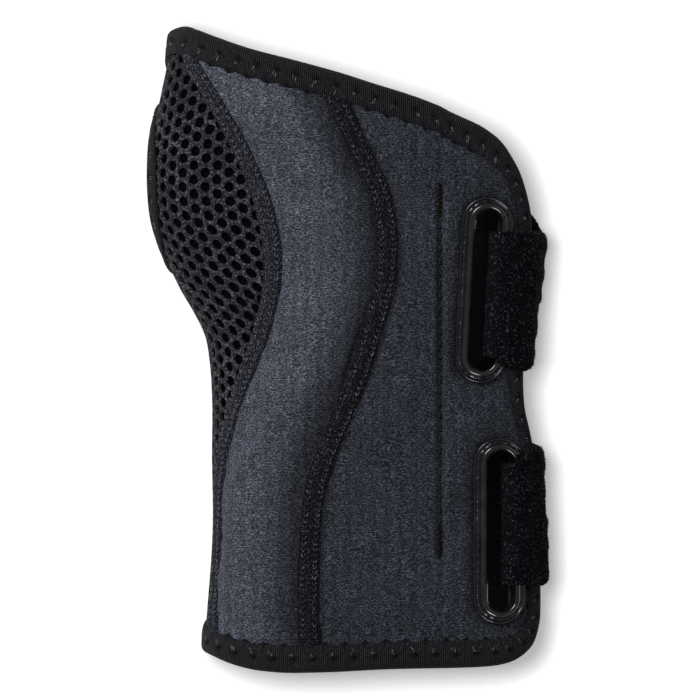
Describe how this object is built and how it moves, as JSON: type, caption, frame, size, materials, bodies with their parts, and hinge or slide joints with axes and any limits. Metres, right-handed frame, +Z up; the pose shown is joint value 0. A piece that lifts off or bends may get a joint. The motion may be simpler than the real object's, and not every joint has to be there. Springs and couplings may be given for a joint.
{
  "type": "wrist splint",
  "caption": "Fabric wrist splint with an open tubular sleeve, thumb hole, folding closure flap with moulded strap slots, hook-and-loop straps and a sliding stay.",
  "frame": {"origin": "centre of the part's box, on the surface it lies on", "axes": "+Y from the forearm to the fingers, +X to the closure side, +Z up from the palm side to the back of the hand"},
  "size_m": [0.1129, 0.1799, 0.0472],
  "materials": {
    "grey_knit": "heather knit face, padded",
    "dark_knit": "dark heather knit face",
    "spacer_mesh": "open spacer mesh",
    "black_tape": "ribbed binding tape",
    "thread": "sewing thread",
    "liner": "smooth liner cloth",
    "slot_plastic": "moulded gloss",
    "strap_pile": "brushed loop pile",
    "hook_tape": "hook tape",
    "stay_metal": "brushed"
  },
  "bodies": {
    "sleeve": {"dorsal_panel": "dark_knit", "middle_panel": "grey_knit", "palm_panel": "dark_knit", "thumb_mesh": "spacer_mesh", "dorsal_seam_tape": "black_tape", "thumb_seam_tape": "black_tape", "palm_seam_tape": "black_tape", "finger_binding": "black_tape", "forearm_binding": "black_tape", "palm_binding": "black_tape", "thumb_binding": "black_tape", "fold_stitching": "thread", "dorsal_stay_pocket": "liner", "palm_stay": "stay_metal", "palm_pad": "liner"},
    "flap": {"closure_flap": "dark_knit", "flap_binding": "black_tape", "upper_slot_frame": "slot_plastic", "lower_slot_frame": "slot_plastic", "upper_slot_backing": "slot_plastic", "lower_slot_backing": "slot_plastic", "upper_strap_loop": "strap_pile", "lower_strap_loop": "strap_pile"},
    "upper_strap": {"upper_strap_tail": "strap_pile", "upper_hook_tab": "hook_tape"},
    "lower_strap": {"lower_strap_tail": "strap_pile", "lower_hook_tab": "hook_tape"},
    "stay": {"dorsal_stay": "stay_metal"}
  },
  "joints": [
    {"name": "flap_fold", "type": "hinge", "parent": "sleeve", "child": "flap", "pos_m": [0.0256, 0, 0.04574], "axis": [0, -1, 0], "range_deg": [0, 50]},
    {"name": "upper_strap_fold", "type": "hinge", "parent": "flap", "child": "upper_strap", "pos_m": [0.0557, 0.0326, 0.0262], "axis": [-0.0995, -0.995, 0], "range_deg": [0, 150]},
    {"name": "lower_strap_fold", "type": "hinge", "parent": "flap", "child": "lower_strap", "pos_m": [0.0557, -0.0272, 0.0262], "axis": [0, -1, 0], "range_deg": [0, 150]},
    {"name": "stay_slide", "type": "slide", "parent": "sleeve", "child": "stay", "axis": [0, -1, 0], "range_m": [0, 0.125]}
  ]
}
